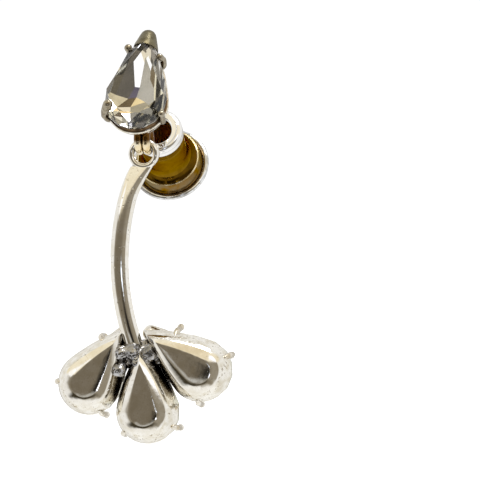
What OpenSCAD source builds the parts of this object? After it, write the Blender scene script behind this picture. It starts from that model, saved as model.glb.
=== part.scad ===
// Dangle earring: a pear crystal stud with an ear clutch, and a drop of three pear cups on a curved bar.
// The ear lobe sits at the origin, on the post. +Y points to the back of the ear, +Z up.
// The drop hangs straight down; the stud tips back, with its clutch lower than its stone.

/* [Pear cups] */
// Radius of a cup's round end at its rim
cup_r = 3.2; // [3.1:0.05:3.3]
// Distance from the centre of the round end to the point, on the three petals
petal_tip = 7.1; // [7:0.05:7.3]
// Distance from the centre of the round end to the point, on the stud
stud_tip = 7.85; // [7.6:0.05:8]
// Radius of a cup's long side arcs
cup_side_r = 21; // [19:1:30]
// Depth of a cup from its rim to its back plate
cup_depth = 3.4; // [3.2:0.05:3.5]
// How far the back plate's round end lies inside the rim
plate_inset = 1.8; // [1.6:0.05:1.9]
// Thickness of a cup's sheet
cup_wall = 0.3; // [0.2:0.05:0.4]

/* [Stones] */
// Height of a stone's table above its girdle
crown_height = 1.5; // [1.2:0.05:1.7]
// Size of the table, as a share of the girdle
table_share = 0.5; // [0.4:0.05:0.6]
// Gap between a stone and the metal around it
stone_gap = 0.06; // [0.04:0.01:0.1]

/* [Claws] */
// Radius of a claw's wire
claw_r = 0.22; // [0.2:0.01:0.26]
// Radius of the ball at a claw's end
claw_ball_r = 0.36; // [0.32:0.01:0.42]
// Radius of the round hood over a stone's point
hood_r = 0.85; // [0.8:0.05:0.95]

/* [Stud] */
// How far the stud tips back
stud_pitch = 25; // [20:1:28]
// How far the stud turns on its post
stud_roll = 5.5; // [4:0.5:8]
// Distance of the centre of the cup's round end to the left of the post
stud_left = 0.4; // [0:0.05:0.5]
// Height of the post above the centre of the cup's round end
post_above_centre = 1.6; // [1.4:0.05:1.7]
// Radius of the ear post
post_r = 0.4; // [0.35:0.05:0.45]
// Distance from the rim of the stud's cup to the end of the post
post_end = 15.3; // [15:0.1:16]
// Distance from the rim of the stud's cup to the middle of the ear lobe
lobe_from_rim = 6.7; // [6.5:0.1:7]

/* [Loop and eye] */
// Radius of the hanger loop, to the middle of its wire
loop_r = 1.15; // [1.1:0.01:1.2]
// Radius of each of the loop's two wires
loop_wire_r = 0.42; // [0.38:0.01:0.44]
// Inner radius of the drop's eye
eye_inner_r = 0.98; // [0.94:0.01:1]
// Outer radius of the drop's eye
eye_outer_r = 1.58; // [1.5:0.01:1.6]
// Thickness of the eye from front to back
eye_depth = 1; // [0.8:0.05:1]

/* [Clutch] */
// Distance from the rim of the stud's cup to the mouth of the clutch
clutch_from_rim = 9.75; // [9.6:0.05:10]
// Outer radius of the polished collar
collar_r = 2.55; // [2.45:0.05:2.65]
// Radius of the collar's mouth
mouth_r = 1.41; // [1.3:0.01:1.5]
// Radius of the ridge round the dish
ridge_r = 3.16; // [3.1:0.01:3.2]
// Outer radius of the rolled rim
disc_r = 4.12; // [4:0.01:4.4]
// Radius of the hole that grips the post
grip_r = 0.47; // [0.46:0.01:0.5]

/* [Drop bar] */
// Width of the bar
bar_w = 1.86; // [1.76:0.02:1.9]
// Thickness of the bar from front to back
bar_t = 1.3; // [1.2:0.05:1.4]
// Radius of the bar's bend
bar_bend_r = 27.5; // [26:0.5:29]
// How far the middle of the bend lies to the left of the eye
bar_bow = 2.3; // [2.2:0.05:2.5]
// How far the middle of the bend lies below the eye
bar_middle_down = 10.8; // [10.6:0.1:11]
// How far the end of the bar lies below the eye
bar_end_down = 20; // [19.8:0.1:20.4]
// How far the middle of the bar bows towards the viewer
bar_forward = 0.8; // [0.4:0.1:1]
// How far the drop leans so that its weight hangs under the loop
drop_lean = 1.9; // [1.3:0.1:2.5]

/* [Hidden] */
$fn = 48;

// Each petal: centre of its round end beside and below the eye, and its direction from straight down
PETALS = [[-5.78, 23.4, -35.6], [0.3, 26.3, 4.2], [5.75, 22, 55]];
PETAL_LEFT = 0;
PETAL_CENTRE = 1;
PETAL_RIGHT = 2;
// Distance from the bar's middle plane back to the rims of the petals
petal_rim_back = 2.2;

// Cup section, as shares of the depth from rim to plate and of the plate's inset
CUP_PROFILE = [[0, 0], [0.26, 0.01], [0.48, 0.1], [0.65, 0.23], [0.8, 0.42], [0.93, 0.68], [1, 1]];
// How much faster the point draws in than the round end
point_draw = 1.15;
ROUND_STEPS = 18;
SIDE_STEPS = 5;

girdle_half = 0.13;
rim_y = girdle_half + stone_gap;
crown_y = -girdle_half - crown_height;
loop_back = 4.44;
loop_down = 3.8;
loop_x = -0.14;

// Half angle, above level, where a pear's round end meets its side arcs
function side_angle(r, t, s) = asin((2 * s * r - r * r - t * t) / (2 * t * (s - r)));

// Points of a pear outline, from its point down the right side and back up the left
function pear_half(r, t, s) =
    let (b = side_angle(r, t, s), cx = -(s - r) * cos(b), cz = -(s - r) * sin(b), a = atan2(t - cz, -cx))
    concat(
        [for (i = [0 : SIDE_STEPS - 1]) let (q = a + (b - a) * i / SIDE_STEPS) [cx + s * cos(q), cz + s * sin(q)]],
        [for (i = [0 : ROUND_STEPS / 2 - 1]) let (q = b - (b + 90) * i * 2 / ROUND_STEPS) [r * cos(q), r * sin(q)]]
    );
function pear(r, t, s) =
    let (half = pear_half(r, t, s), n = len(half))
    concat(half, [[0, -r]], [for (i = [n - 1 : -1 : 1]) [-half[i][0], half[i][1]]]);

// Half the width of a pear at a height above the centre of its round end
function pear_width(r, t, s, z) =
    let (b = side_angle(r, t, s), cx = -(s - r) * cos(b), cz = -(s - r) * sin(b))
    cx + sqrt(s * s - (z - cz) * (z - cz));

// The outline of a cup with its point at a distance, drawn in by an inset, at a depth behind the rim
function pear_section(tip, y, inset) =
    [for (p = pear(cup_r - inset, tip - point_draw * inset, cup_side_r)) [p[0], y, p[1]]];

// Solid through a list of outlines that have the same number of points, front to back
module loft(sections) {
    n = len(sections[0]);
    last = len(sections) - 1;
    points = [for (s = sections) for (p = s) p];
    front = [[for (i = [0 : n - 1]) i]];
    back = [[for (i = [n - 1 : -1 : 0]) last * n + i]];
    sides = [
        for (k = [0 : last - 1]) for (i = [0 : n - 1]) let (j = (i + 1) % n)
            each [[k * n + i, (k + 1) * n + i, (k + 1) * n + j], [k * n + i, (k + 1) * n + j, k * n + j]]
    ];
    polyhedron(points, concat(front, back, sides));
}

// Closed-back cup, rim forward, hollow, with a sloping seat that follows the back of the stone
seat_inset = 0.02;
module cup_shell(tip) {
    difference() {
        loft([for (p = CUP_PROFILE) pear_section(tip, rim_y + p[0] * (cup_depth - rim_y), p[1] * plate_inset)]);
        loft([
            pear_section(tip, rim_y - 0.1, seat_inset - 0.1),
            pear_section(tip, rim_y + cup_wall, seat_inset + cup_wall),
            pear_section(tip, rim_y + 1.1, cup_wall + 0.35),
            pear_section(tip, cup_depth - cup_wall, plate_inset + 0.1)
        ]);
    }
}

// Places on the rim, as [across, up, direction out]: on the round end at an angle, or on a long side at a height
function round_place(angle) = [cup_r * cos(angle), cup_r * sin(angle), angle];
side_lean = 22;
function side_place(tip, side, z) =
    [side * pear_width(cup_r, tip, cup_side_r, z), z, side > 0 ? side_lean : 180 - side_lean];

// Each claw: its place, where its ball is out from the rim and back from it, and the ball's radius
STUD_CLAWS = [
    [side_place(stud_tip, -1, 5.4), [0.2, -0.78], claw_ball_r + 0.05],
    [side_place(stud_tip, 1, 4.7), [0.05, -0.85], claw_ball_r],
    [round_place(-28), [0.35, -0.85], claw_ball_r],
    [round_place(-147), [-0.45, -1.7], claw_ball_r + 0.14],
];
PETAL_CLAWS = [
    [
        [side_place(petal_tip, 1, 4.5), [0.15, -0.78], claw_ball_r],
        [round_place(-33), [0.25, -0.8], claw_ball_r],
        [round_place(-149), [0.4, -0.8], claw_ball_r],
    ],
    [
        [round_place(-37), [0.35, -0.8], claw_ball_r],
        [round_place(-148), [0.3, -0.8], claw_ball_r],
    ],
    [
        [side_place(petal_tip, -1, 4.2), [0.5, -0.78], claw_ball_r],
        [round_place(-32), [0.35, -0.8], claw_ball_r],
        [round_place(-152), [0.05, -0.8], claw_ball_r],
    ],
];

// Claw: up from the cup's wall, round the girdle, swelling to a ball bent over the stone
claw_swell = 0.7;
module claw(place, ball, ball_r) {
    stand_off = claw_r + stone_gap + 0.02;
    bends = [[-0.16, 1.6], [stand_off, 0.6], [stand_off, -0.4], ball];
    translate([place[0], 0, place[1]]) rotate([0, -place[2], 0]) {
        for (i = [0 : 2]) {
            end_r = i < 2 ? claw_r : ball_r * claw_swell;
            hull() {
                translate([bends[i][0], bends[i][1], 0]) sphere(r = claw_r, $fn = 10);
                translate([bends[i + 1][0], bends[i + 1][1], 0]) sphere(r = end_r, $fn = 10);
            }
        }
        translate([ball[0], ball[1], 0]) sphere(r = ball_r, $fn = 14);
    }
}

// Round hood that folds over the point of the stone
hood_out = 0.2;
module hood(tip) {
    difference() {
        union() {
            intersection() {
                loft([
                    pear_section(tip, -0.95, 0.35), pear_section(tip, -0.6, 0),
                    pear_section(tip, 0, -hood_out), pear_section(tip, 1.1, 0)
                ]);
                translate([0, 0.1, tip - 0.3]) sphere(r = 1.45, $fn = 24);
            }
            translate([0, 0.05, tip + hood_out - hood_r]) sphere(r = hood_r, $fn = 20);
        }
        loft([
            pear_section(tip, -1.3, 1.25),
            pear_section(tip, -girdle_half, -stone_gap),
            pear_section(tip, rim_y, -stone_gap),
            pear_section(tip, 1.4, 0.5)
        ]);
    }
}

// One cup with its hood and claws
module cup(tip, claws) {
    cup_shell(tip);
    hood(tip);
    for (c = claws) {
        claw(c[0], c[1], c[2]);
    }
}

// Corners of the girdle: the point, six down the right side, the bottom, and six back up the left
function girdle_half_points(tip) = concat(
    [for (z = [5, 2.5]) [pear_width(cup_r, tip, cup_side_r, z), z]],
    [for (a = [10, -18, -42, -66]) [cup_r * cos(a), cup_r * sin(a)]]
);
function girdle_points(tip) =
    let (half = girdle_half_points(tip), n = len(half))
    concat([[0, tip]], half, [[0, -cup_r]], [for (i = [n - 1 : -1 : 0]) [-half[i][0], half[i][1]]]);

// A girdle corner drawn in towards the middle of the stone
stone_middle = 1.1;
function drawn_in(p, share, y) = [p[0] * share, y, stone_middle + (p[1] - stone_middle) * share];

// Pear crystal: table, star facets, kites, girdle facets and a pointed back
module stone(tip) {
    g = girdle_points(tip);
    n = len(g);
    m = n / 2;
    mid_share = (1 + table_share) / 2 + 0.06;
    table = [for (i = [0 : m - 1]) drawn_in(g[2 * i], table_share, crown_y)];
    middle = [for (i = [0 : m - 1]) drawn_in(g[2 * i + 1], mid_share, crown_y * 0.58)];
    upper = [for (p = g) [p[0], -girdle_half, p[1]]];
    lower = [for (p = g) [p[0], girdle_half, p[1]]];
    waist = [for (p = g) drawn_in(p, 0.5, 1.5)];
    culet = [[0, 2.4, stone_middle]];
    t0 = 0;
    m0 = m;
    u0 = 2 * m;
    l0 = u0 + n;
    w0 = l0 + n;
    c0 = w0 + n;
    faces = concat(
        [[for (i = [0 : m - 1]) t0 + i]],
        [for (i = [0 : m - 1]) [t0 + i, m0 + i, t0 + (i + 1) % m]],
        [for (i = [0 : m - 1]) each [
            [t0 + i, m0 + (i + m - 1) % m, u0 + 2 * i],
            [t0 + i, u0 + 2 * i, m0 + i],
            [m0 + i, u0 + 2 * i, u0 + 2 * i + 1],
            [m0 + i, u0 + 2 * i + 1, u0 + (2 * i + 2) % n]
        ]],
        [for (i = [0 : n - 1]) let (j = (i + 1) % n) each [
            [u0 + i, l0 + i, l0 + j], [u0 + i, l0 + j, u0 + j],
            [l0 + i, w0 + i, w0 + j], [l0 + i, w0 + j, l0 + j],
            [w0 + i, c0, w0 + j]
        ]]
    );
    polyhedron(concat(table, middle, upper, lower, waist, culet), faces);
}

// Places a piece of the stud in its tipped-back rest, with the lobe's middle at the origin
module on_post() {
    rotate([-stud_pitch, 0, 0]) translate([0, -lobe_from_rim, 0]) children();
}

// Places a cup or stone of the stud, turned on the post
module on_stud() {
    on_post() translate([-stud_left, 0, -post_above_centre]) rotate([0, stud_roll, 0]) children();
}

// Turns a lathe profile's axis from Z to the post
module along_post() {
    rotate([-90, 0, 0]) children();
}

// Two wires side by side, soldered across the lower end of the cup's back
module hanger_loop() {
    translate([loop_x, loop_back, -loop_down]) {
        for (side = [-1, 1]) {
            translate([side * loop_wire_r, 0, 0]) rotate([0, 90, 0])
                rotate_extrude($fn = 32) translate([loop_r, 0]) circle(r = loop_wire_r, $fn = 14);
        }
        translate([0, -1.35, 0.6]) sphere(r = 0.6, $fn = 16);
    }
}

module stud_setting() {
    color("silver") {
        on_stud() cup(stud_tip, STUD_CLAWS);
        on_post() {
            translate([0, cup_depth - 0.2, 0]) along_post()
                cylinder(h = post_end - cup_depth + 0.2, r = post_r, $fn = 24);
            translate([0, cup_depth - 0.1, 0]) along_post()
                cylinder(h = 0.5, r1 = 0.95, r2 = post_r, $fn = 24);
            translate([0, post_end, 0]) sphere(r = post_r, $fn = 24);
            hanger_loop();
        }
    }
}

module stud_stone() {
    color("lavender") on_stud() stone(stud_tip);
}

// Places a piece of the clutch, mouth forward
module on_clutch() {
    on_post() translate([0, clutch_from_rim, 0]) along_post() children();
}

collar_length = 1.5;
bead_r = 0.5;
module clutch_collar() {
    color("gainsboro") on_clutch() rotate_extrude() {
        translate([collar_r - bead_r, bead_r]) circle(r = bead_r);
        polygon([
            [mouth_r, 0.4], [mouth_r + 0.25, 0.08], [collar_r - bead_r, 0], [collar_r, bead_r],
            [collar_r, 1.05], [collar_r - 0.25, collar_length], [mouth_r, collar_length]
        ]);
    }
}

// Brass dish: neck with turned grooves, flare, ridge and sloping band, bored for the post
part_gap = 0.03;
neck_r = 2.36;
ridge_y = 6.55;
disc_y = 8.2;
dish_back_y = 8;
module clutch_dish() {
    color("goldenrod") on_clutch() rotate_extrude() {
        difference() {
            union() {
                polygon([
                    [grip_r, collar_length + part_gap], [neck_r - 0.1, collar_length + part_gap],
                    [neck_r, 1.75], [neck_r, ridge_y - 1.6], [neck_r + 0.12, ridge_y - 0.9],
                    [neck_r + 0.38, ridge_y - 0.4], [ridge_r, ridge_y], [ridge_r + 0.16, ridge_y + 0.2],
                    [disc_r - 0.62, disc_y - 0.4],
                    [disc_r - 0.56, dish_back_y], [grip_r, dish_back_y]
                ]);
                translate([ridge_r, ridge_y]) circle(r = 0.13);
            }
            polygon([
                [0, 0], [mouth_r + 0.1, 0], [mouth_r + 0.1, 3.5], [grip_r, 4.7], [0, 4.7]
            ]);
            for (k = [0 : 2]) {
                translate([neck_r + 0.02, 1.9 + 0.26 * k]) circle(r = 0.07, $fn = 16);
            }
        }
    }
}

// Silver back shell whose rolled rim stands round the dish
rim_roll_r = 0.3;
module clutch_shell() {
    color("silver") on_clutch() rotate_extrude() {
        translate([disc_r - rim_roll_r, disc_y]) circle(r = rim_roll_r);
        polygon([
            [grip_r + 0.15, dish_back_y + part_gap], [disc_r - rim_roll_r, dish_back_y + part_gap],
            [disc_r - 0.05, disc_y + 0.15], [3.2, disc_y + 0.6], [1.8, disc_y + 0.85],
            [grip_r + 0.15, disc_y + 0.9]
        ]);
    }
}

// Middle of the hanger loop, which the drop swings about
swing_y = (loop_back - lobe_from_rim) * cos(stud_pitch) - loop_down * sin(stud_pitch);
swing_z = -loop_down * cos(stud_pitch) - (loop_back - lobe_from_rim) * sin(stud_pitch);

// How far the middle of the eye's hole hangs below the loop's lowest wire centre, with its top on the two wires
hang_gap = 0.05;
eye_hang = sqrt((eye_inner_r - loop_wire_r - hang_gap) ^ 2 - loop_wire_r ^ 2);

// Places a piece of the drop, with the middle of the eye's hole at its own origin
module on_loop() {
    translate([loop_x, swing_y, swing_z]) rotate([-drop_lean, 0, 0])
        translate([0, 0, -loop_r - eye_hang]) children();
}

module on_petal(k) {
    p = PETALS[k];
    on_loop() translate([p[0], petal_rim_back, -p[1]]) rotate([drop_lean, 0, 0]) rotate([0, -p[2], 0])
        rotate([0, 0, 180]) children();
}

bar_centre_x = bar_bend_r - bar_bow;
bar_top_down = 1.3;
BAR_STEPS = 16;
BAR_SIDES = 20;
shoulder_length = 3.4;
shoulder_width = 0.2;
shoulder_shift = 0.4;

// Outline of the bar across its length, at a share of the way from the eye to the petals
function bar_section(share) =
    let (
        down = bar_top_down + share * (bar_end_down - bar_top_down),
        lean = asin((down - bar_middle_down) / bar_bend_r),
        shoulder = max(0, 1 - (down - bar_top_down) / shoulder_length) ^ 2,
        x = bar_centre_x - bar_bend_r * cos(lean) + shoulder_shift * shoulder,
        y = -bar_forward * 4 * share * (1 - share),
        half_w = bar_w / 2 + shoulder_width * shoulder,
        half_t = bar_t / 2 * (1 - 0.3 * shoulder)
    )
    [
        for (i = [0 : BAR_SIDES - 1]) let (q = -i * 360 / BAR_SIDES, across = half_w * cos(q))
            [x + across * cos(lean), y + half_t * sin(q), -down + across * sin(lean)]
    ];

// Rounded bar, bowed to the left and forward, with a shoulder that runs into the eye
module bar() {
    loft([for (i = [0 : BAR_STEPS]) bar_section(i / BAR_STEPS)]);
}

// Eye, a flat ring with rounded faces
module eye() {
    wire_r = (eye_outer_r - eye_inner_r) / 2;
    flat = eye_depth - 2 * wire_r;
    rotate([90, 0, 0]) rotate_extrude($fn = 40) translate([eye_inner_r + wire_r, 0]) {
        square([2 * wire_r, flat], center = true);
        for (side = [-1, 1]) {
            translate([0, side * flat / 2]) circle(r = wire_r, $fn = 12);
        }
    }
}

// Solder lumps where the bar and the points of the cups meet
SOLDER = [
    // [x, y, down, radius]
    [-0.9, -0.35, 20.1, 0.95],
    [-2.2, -0.35, 20.3, 0.85],
    [-2.3, -0.5, 22, 0.75],
    [0.8, -0.3, 20.3, 0.95],
    [-0.3, -0.4, 21.2, 0.85],
];

module drop_bar() {
    color("silver") {
        on_loop() {
            bar();
            eye();
            for (s = SOLDER) {
                translate([s[0], s[1], -s[2]]) sphere(r = s[3], $fn = 16);
            }
        }
        for (k = [0 : len(PETALS) - 1]) {
            on_petal(k) cup(petal_tip, PETAL_CLAWS[k]);
        }
    }
}

module petal_stone(k) {
    color("lavender") on_petal(k) stone(petal_tip);
}

stud_setting();
stud_stone();
clutch_collar();
clutch_dish();
clutch_shell();
drop_bar();
petal_stone(PETAL_LEFT);  // petal_stone_left
petal_stone(PETAL_CENTRE);  // petal_stone_centre
petal_stone(PETAL_RIGHT);  // petal_stone_right
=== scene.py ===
"""Looks of the dangle earring: every CAD node is replaced by finer meshes made from the same named values."""
import math

import bpy
import numpy as np
from mathutils import Matrix, Vector, noise


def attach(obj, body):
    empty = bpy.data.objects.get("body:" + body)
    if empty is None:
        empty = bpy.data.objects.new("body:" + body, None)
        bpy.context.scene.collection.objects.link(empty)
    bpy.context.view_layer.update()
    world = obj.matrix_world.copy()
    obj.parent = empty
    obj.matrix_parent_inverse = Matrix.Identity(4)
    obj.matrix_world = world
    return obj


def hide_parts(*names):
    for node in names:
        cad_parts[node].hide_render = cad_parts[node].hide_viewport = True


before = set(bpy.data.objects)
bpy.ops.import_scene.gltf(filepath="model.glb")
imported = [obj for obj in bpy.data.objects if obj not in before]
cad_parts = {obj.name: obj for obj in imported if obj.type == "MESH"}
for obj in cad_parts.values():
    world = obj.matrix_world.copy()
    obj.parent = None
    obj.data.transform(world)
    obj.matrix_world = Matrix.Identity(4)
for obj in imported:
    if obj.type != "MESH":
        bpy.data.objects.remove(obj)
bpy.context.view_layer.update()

# Values of the part's source, in millimetres and degrees
MM = 0.001
CUP_R, PETAL_TIP, STUD_TIP, SIDE_R = 3.2, 7.1, 7.85, 21
CUP_DEPTH, PLATE_INSET, CUP_WALL, POINT_DRAW = 3.4, 1.8, 0.3, 1.15
CROWN_HEIGHT, GIRDLE_HALF, STONE_GAP = 1.5, 0.13, 0.06
CLAW_R, BALL_R = 0.22, 0.36
STUD_PITCH, STUD_ROLL, STUD_LEFT, POST_ABOVE = 25, 5.5, 0.4, 1.6
POST_R, POST_END, LOBE_FROM_RIM = 0.4, 15.3, 6.7
LOOP_R, LOOP_WIRE_R, LOOP_X, LOOP_BACK, LOOP_DOWN = 1.15, 0.42, -0.14, 4.44, 3.8
EYE_INNER_R, EYE_OUTER_R, EYE_DEPTH, EYE_GAP = 0.98, 1.58, 1.0, 0.05
CLUTCH_FROM_RIM, COLLAR_R, COLLAR_LENGTH, MOUTH_R, GRIP_R = 9.75, 2.55, 1.5, 1.41, 0.47
RIDGE_R, RIDGE_Y, DISC_R, DISC_Y, DISH_BACK_Y, PART_GAP = 3.16, 6.55, 4.12, 8.2, 8.0, 0.03
BAR_W, BAR_T, BEND_R, BAR_BOW = 1.86, 1.3, 27.5, 2.3
BAR_MIDDLE, BAR_TOP, BAR_END, BAR_FORWARD = 10.8, 1.3, 20, 0.8
DROP_LEAN, PETAL_BACK = 1.9, 2.2
RIM_Y = GIRDLE_HALF + STONE_GAP
CROWN_Y = -GIRDLE_HALF - CROWN_HEIGHT

# Middle of each petal's round end, to the right and down from the eye's middle, and the petal's turn
PETALS = {"left": (-5.78, 23.4, -35.6), "centre": (0.3, 26.3, 4.2), "right": (5.75, 22, 55)}

# CAD nodes, each with the body that it rides on and its material slot
NODES = {
    "stud_setting": ("stud", "setting_silver"), "stud_stone": ("stud", "stud_crystal"),
    "clutch_collar": ("clutch", "collar_chrome"), "clutch_dish": ("clutch", "dish_brass"),
    "clutch_shell": ("clutch", "shell_silver"), "drop_bar": ("drop", "drop_silver"),
    "petal_stone_left": ("drop", "petal_crystal"), "petal_stone_centre": ("drop", "petal_crystal"),
    "petal_stone_right": ("drop", "petal_crystal"),
}


def turn(axis, degrees):
    return Matrix.Rotation(math.radians(degrees), 4, axis)


def shift(x, y, z):
    return Matrix.Translation((x, y, z))


# Places, as in the part's source
ON_POST = turn("X", -STUD_PITCH) @ shift(0, -LOBE_FROM_RIM, 0)
ON_STUD = ON_POST @ shift(-STUD_LEFT, 0, -POST_ABOVE) @ turn("Y", STUD_ROLL)
ON_HANGER = ON_POST @ shift(LOOP_X, LOOP_BACK, -LOOP_DOWN)
ON_CLUTCH = ON_POST @ shift(0, CLUTCH_FROM_RIM, 0) @ turn("X", -90)
EYE_HANG = math.sqrt((EYE_INNER_R - LOOP_WIRE_R - EYE_GAP) ** 2 - LOOP_WIRE_R ** 2)
SWING = ON_POST @ Vector((LOOP_X, LOOP_BACK, -LOOP_DOWN))
ON_LOOP = shift(*SWING) @ turn("X", -DROP_LEAN) @ shift(0, 0, -LOOP_R - EYE_HANG)


def on_petal(name):
    x, down, angle = PETALS[name]
    hung = ON_LOOP @ shift(x, PETAL_BACK, -down) @ turn("X", DROP_LEAN)
    return hung @ turn("Y", -angle) @ turn("Z", 180)


# Meshes: a part is its points in millimetres, its faces, and the number of each face's material
# Edges sharper than these angles, in degrees, stay hard on pieces of that kind
MIXED, TURNED, FACETED, ROUNDED = 40, 50, 1, 180


def piece(name, node, parts, place, materials, hard=MIXED):
    """One visible piece made of parts, put in place, riding on the body of the CAD node that it replaces."""
    points, faces, picks = [], [], []
    for part_points, part_faces, part_picks in parts:
        at = len(points)
        points += [tuple(place @ Vector(p) * MM) for p in part_points]
        faces += [[at + i for i in face] for face in part_faces]
        picks += part_picks
    mesh = bpy.data.meshes.new(name)
    mesh.from_pydata(points, [], faces)
    for material in materials:
        mesh.materials.append(material)
    mesh.polygons.foreach_set("material_index", picks)
    mesh.validate()
    mesh.shade_smooth()
    mesh.set_sharp_from_angle(angle=math.radians(hard))
    ob = bpy.data.objects.new(name, mesh)
    bpy.context.scene.collection.objects.link(ob)
    body, slot = NODES[node]
    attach(ob, body)
    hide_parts(node)


def moved(part, place):
    points, faces, picks = part
    return [tuple(place @ Vector(p)) for p in points], faces, picks


def circle(steps):
    """Even angles round a circle, in radians."""
    return np.linspace(0, 2 * math.pi, steps, endpoint=False)


def skin(rings, closed=False, tones=None):
    """Quads through rings of equal length, with tones as the material of the band after each ring.

    An open skin ends in fans of material 0 round the middles of its first and last rings."""
    n, k = len(rings[0]), len(rings)
    points = [tuple(p) for ring in rings for p in ring]
    faces, picks = [], []
    for a in range(k if closed else k - 1):
        b = (a + 1) % k
        for i in range(n):
            j = (i + 1) % n
            faces.append([a * n + i, b * n + i, b * n + j, a * n + j])
        picks += [tones[a] if tones else 0] * n
    if not closed:
        for a, flip in ((0, True), (k - 1, False)):
            points.append(tuple(np.mean(rings[a], axis=0)))
            middle = len(points) - 1
            for i in range(n):
                j = (i + 1) % n
                faces.append([middle, a * n + i, a * n + j] if flip else [middle, a * n + j, a * n + i])
            picks += [0] * n
    return points, faces, picks


def lathe(profile, steps, closed=True, tones=None):
    """Revolves (radius, height) points about Z."""
    rings = [[(r * math.cos(q), r * math.sin(q), height) for q in circle(steps)] for r, height in profile]
    return skin(rings, closed, tones)


def arc(x, y, r, start, end, count):
    """Points on an arc, from one angle to another in degrees."""
    angles = [math.radians(q) for q in np.linspace(start, end, count)]
    return [(x + r * math.cos(q), y + r * math.sin(q)) for q in angles]


ROUND_STEPS, ROUND_TIP = 5, 0.02


def rod(path, radii, steps):
    """Tube along a path, with a radius at each point and both ends round."""
    path, radii = [Vector(p) for p in path], list(radii)
    for _ in range(2):
        ahead = (path[-1] - path[-2]).normalized()
        end, r = path[-1], radii[-1]
        for q in np.linspace(0, math.pi / 2, ROUND_STEPS + 1)[1:]:
            path.append(end + ahead * (r * math.sin(q)))
            radii.append(max(r * math.cos(q), ROUND_TIP * r))
        path.reverse()
        radii.reverse()
    rings, side = [], None
    for i, middle in enumerate(path):
        ahead = (path[min(i + 1, len(path) - 1)] - path[max(i - 1, 0)]).normalized()
        if side is None:
            side = ahead.orthogonal()
        side = (side - ahead * side.dot(ahead)).normalized()
        up = ahead.cross(side)
        rings.append([
            middle + side * (math.cos(q) * radii[i]) + up * (math.sin(q) * radii[i]) for q in circle(steps)
        ])
    return skin(rings)


def smooth_path(points, count):
    """A smooth curve through points with any number of columns, count points to each stretch."""
    given = np.array(points, float)
    knots = np.vstack([2 * given[0] - given[1], given, 2 * given[-1] - given[-2]])
    path = []
    for i in range(len(given) - 1):
        a, b, c, d = knots[i : i + 4]
        for t in np.linspace(0, 1, count, endpoint=False):
            path.append(0.5 * (
                2 * b + (c - a) * t + (2 * a - 5 * b + 4 * c - d) * t ** 2 + (3 * b - a - 3 * c + d) * t ** 3
            ))
    path.append(given[-1])
    return np.array(path)


POLE = 0.04


def ball(middle, radii, steps):
    """Round lump with its own radius along X, Y and Z."""
    x, y, z = middle
    wide, deep, tall = radii
    return skin([
        [
            (
                x + wide * math.sin(q) * math.cos(t), y + deep * math.sin(q) * math.sin(t),
                z + tall * math.cos(q),
            )
            for t in circle(steps)
        ]
        for q in np.linspace(POLE, math.pi - POLE, steps // 2 + 1)
    ])


# Pears, as the cups and crystals have them: round below, with two long sides that meet in a point
SIDE_POINTS, ROUND_POINTS = 12, 22


def long_side(r, tip):
    """Angle at which a pear's long side leaves the round end, and the middle of that side's arc."""
    angle = math.asin((2 * SIDE_R * r - r * r - tip * tip) / (2 * tip * (SIDE_R - r)))
    return angle, -(SIDE_R - r) * math.cos(angle), -(SIDE_R - r) * math.sin(angle)


def pear(r, tip):
    """Outline of a pear from its point down the right side and back up the left, as (x, z)."""
    low, side_x, side_z = long_side(r, tip)
    high = math.atan2(tip - side_z, -side_x)
    side = np.linspace(high, low, SIDE_POINTS, endpoint=False)
    foot = np.linspace(low, -math.pi / 2, ROUND_POINTS, endpoint=False)
    half = [(side_x + SIDE_R * math.cos(q), side_z + SIDE_R * math.sin(q)) for q in side]
    half += [(r * math.cos(q), r * math.sin(q)) for q in foot]
    return half + [(0, -r)] + [(-x, z) for x, z in half[:0:-1]]


def side_point(tip, z):
    """Point on the right side of a cup's outline, at a height."""
    _, side_x, side_z = long_side(CUP_R, tip)
    return side_x + math.sqrt(SIDE_R * SIDE_R - (z - side_z) ** 2), z


def round_point(degrees):
    """Point on the round end of a cup's outline."""
    return CUP_R * math.cos(math.radians(degrees)), CUP_R * math.sin(math.radians(degrees))


def section(tip, y, inset):
    return [(x, y, z) for x, z in pear(CUP_R - inset, tip - POINT_DRAW * inset)]


# Cups, from the plate at the back to the rim, then through the groove under the stone, as (depth, inset)
PLATE_SHARES = (0.04, 0.3, 0.5, 0.65, 0.76, 0.84, 0.9, 0.94, 0.975)
PLATE_DOME, PLATE_MIDDLE, PLATE_ENDS, LEAN_FROM = 0.07, 0.9, 2.95, 1
PLATE_EDGE = [
    (3.4, 1.8), (3.34, 1.6), (3.22, 1.3), (3.06, 0.98), (2.88, 0.78), (2.6, 0.56), (2.2, 0.36), (1.7, 0.16),
    (1.42, 0.07), (1.28, 0.03),
]
RIM_BEAD = [(1.18, -0.03), (1.08, -0.04), (0.98, 0.0), (0.93, 0.06)]
GROOVE = [(0.9, 0.17), (0.62, 0.27), (0.36, 0.26), (0.24, 0.15), (RIM_Y, 0.1)]
INSIDE = [
    (RIM_Y, 0.16), (RIM_Y + CUP_WALL, CUP_WALL + 0.1), (RIM_Y + 1.1, CUP_WALL + 0.4),
    (CUP_DEPTH - CUP_WALL, PLATE_INSET + 0.1),
]
PLATE_TONE, GROOVE_TONE, WALL_TONE = 0, 1, 2
PLATE_LEANS = {"left": (0.02, -0.01), "centre": (0, 0), "right": (-0.012, 0.05)}


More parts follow.
